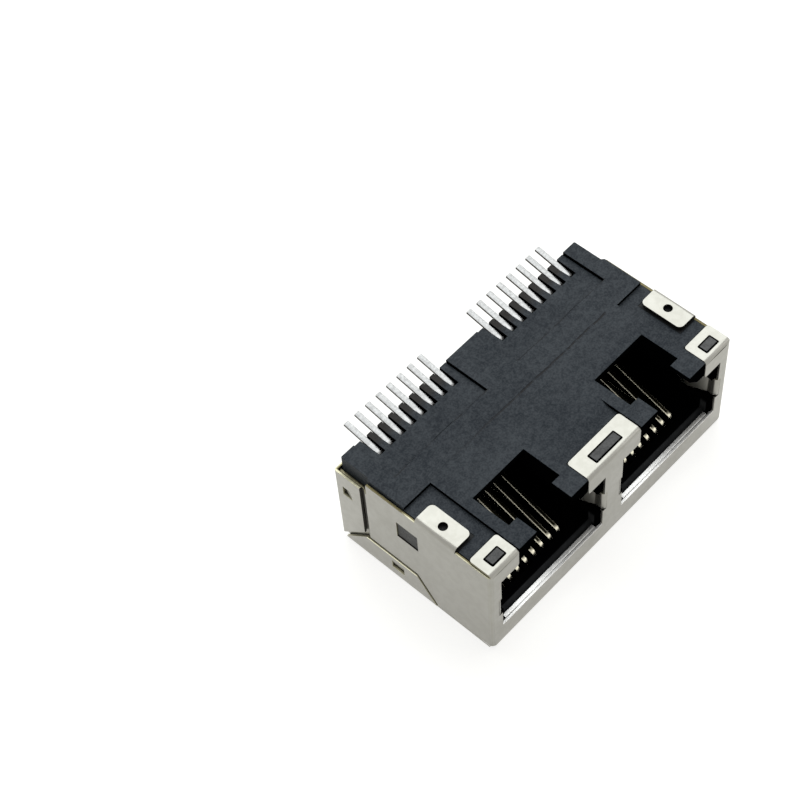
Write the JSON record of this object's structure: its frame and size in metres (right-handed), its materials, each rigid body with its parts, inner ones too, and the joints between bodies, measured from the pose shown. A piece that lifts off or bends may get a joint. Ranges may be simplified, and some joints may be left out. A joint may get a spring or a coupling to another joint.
{
  "type": "rj45 board jack",
  "caption": "Low shielded modular jack for surface mounting: folded metal shield round a moulded housing, sprung contacts, solder leads behind and solder tabs at the sides.",
  "frame": {"origin": "middle of the bounding box's base: on the outer face of the shield's top plate, halfway across the ports and halfway from the front plate to the toes of the leads", "axes": "+X across the ports, +Y from the front plate to the solder leads, +Z from the top plate to the circuit board; on a board the jack is turned 180 degrees about X"},
  "size_m": [0.0306, 0.0186, 0.012],
  "materials": {
    "plated_sheet": "satin nickel-plated sheet",
    "housing_plastic": "fine grain, moulded",
    "carrier_plastic": "fine grain, moulded",
    "contact_strip": "gold-plated springs, tin-plated leads"
  },
  "bodies": {
    "root": {"shield": "plated_sheet", "housing": "housing_plastic", "port_1_carrier": "carrier_plastic", "port_2_carrier": "carrier_plastic", "contact_1_1": "contact_strip", "contact_1_2": "contact_strip", "contact_1_3": "contact_strip", "contact_1_4": "contact_strip", "contact_1_5": "contact_strip", "contact_1_6": "contact_strip", "contact_1_7": "contact_strip", "contact_1_8": "contact_strip", "contact_2_1": "contact_strip", "contact_2_2": "contact_strip", "contact_2_3": "contact_strip", "contact_2_4": "contact_strip", "contact_2_5": "contact_strip", "contact_2_6": "contact_strip", "contact_2_7": "contact_strip", "contact_2_8": "contact_strip"}
  },
  "joints": []
}
